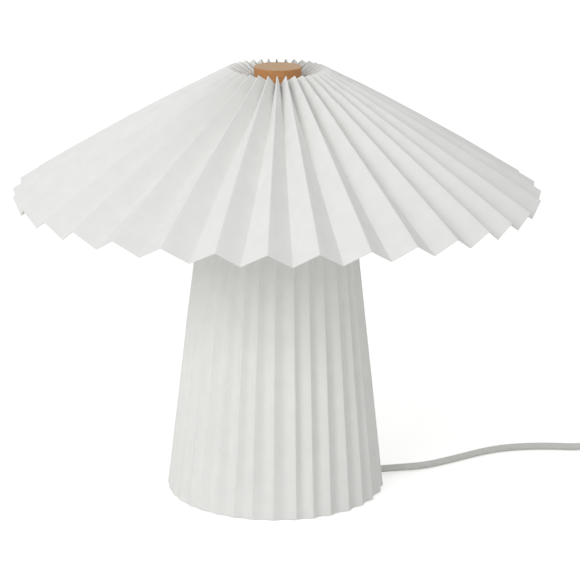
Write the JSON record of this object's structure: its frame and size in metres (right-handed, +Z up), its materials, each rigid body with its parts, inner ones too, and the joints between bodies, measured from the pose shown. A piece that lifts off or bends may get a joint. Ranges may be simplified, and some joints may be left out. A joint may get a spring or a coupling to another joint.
{
  "type": "pleated paper table lamp",
  "caption": "Table lamp with a wide pleated paper shade on a tapering pleated paper skirt, a round wooden knob on top and a white cord with an in-line switch.",
  "frame": {"origin": "centre of the base, on the table, under the lamp's axis", "axes": "+Z up along the stem; the front of the lamp looks along -Y, as in the picture, and the cord leaves towards +X and a little to the rear"},
  "size_m": [0.6033, 0.4196, 0.3471],
  "materials": {
    "felt": "matt pressed felt",
    "cast_iron": "black stoved casting",
    "paper": "matt folded white paper",
    "white_wire": "white powder coat",
    "zinc_steel": "bright zinc plate",
    "brass": "plain turned brass",
    "wood": "oiled beech",
    "holder_plastic": "white moulded thermoset",
    "holder_core": "unglazed steatite",
    "cord_pvc": "white round PVC cord",
    "switch_plastic": "white moulded plastic",
    "plug_plastic": "white overmoulded PVC",
    "sleeve_plastic": "white moulded sleeves",
    "bulb_nickel": "nickel-plated cap",
    "bulb_black": "black insulator",
    "bulb_plastic": "white moulded collar",
    "opal": "opal, not clear"
  },
  "bodies": {
    "base": {"base_cord": "cord_pvc", "base_weight": "cast_iron", "bow_saddle": "zinc_steel", "bow_sleeves": "zinc_steel", "bow_stud": "brass", "centre_contact": "brass", "cord_coil": "cord_pvc", "cord_to_coil": "cord_pvc", "cord_to_plug": "cord_pvc", "cord_to_switch": "cord_pvc", "foot_pad": "felt", "holder_cap": "holder_plastic", "holder_core": "holder_core", "holder_shell": "holder_plastic", "lead_wires": "cord_pvc", "pin_sleeves": "sleeve_plastic", "plug_body": "plug_plastic", "plug_pins": "brass", "screw_sleeve": "brass", "shade_bow": "white_wire", "skirt_frame": "white_wire", "skirt_paper": "paper", "stem_nut": "zinc_steel", "stem_tube": "white_wire", "stem_washer": "zinc_steel", "strain_relief": "cord_pvc", "switch_lower": "switch_plastic", "switch_screws": "zinc_steel", "switch_upper": "switch_plastic", "terminal_screws": "zinc_steel", "threaded_rod": "zinc_steel"},
    "bulb_cap": {"bulb_tip": "brass", "bulb_insulator": "bulb_black", "bulb_screw_cap": "bulb_nickel"},
    "bulb": {"bulb_collar": "bulb_plastic", "bulb_globe": "opal"},
    "shade": {"shade_paper": "paper", "shade_carrier": "white_wire"},
    "knob_insert": {"knob_insert": "brass"},
    "knob": {"wooden_knob": "wood"},
    "rocker": {"switch_rocker": "switch_plastic"}
  },
  "joints": [
    {"name": "shade_lift", "type": "slide", "parent": "base", "child": "shade", "axis": [0, 0, 1], "range_m": [0, 0.12]},
    {"name": "knob_rise", "type": "slide", "parent": "shade", "child": "knob_insert", "axis": [0, 0, 1], "range_m": [0, 0.0096]},
    {"name": "knob_turn", "type": "hinge", "parent": "knob_insert", "child": "knob", "pos_m": [0, 0, 0.34], "axis": [0, 0, 1], "range_deg": [0, 3420]},
    {"name": "bulb_rise", "type": "slide", "parent": "base", "child": "bulb_cap", "axis": [0, 0, 1], "range_m": [0, 0.0199]},
    {"name": "bulb_turn", "type": "hinge", "parent": "bulb_cap", "child": "bulb", "pos_m": [0, 0, 0.25], "axis": [0, 0, 1], "range_deg": [0, 2520]},
    {"name": "switch_rock", "type": "hinge", "parent": "base", "child": "rocker", "pos_m": [0.31383, 0.07678, 0.0115], "axis": [0.1038, 0.9946, 0], "range_deg": [0, 14]}
  ],
  "couplings": [
    {"joint": "knob_rise", "follows": "knob_turn", "m_per_rad": 0.00015915},
    {"joint": "bulb_rise", "follows": "bulb_turn", "m_per_rad": 0.00044882}
  ]
}
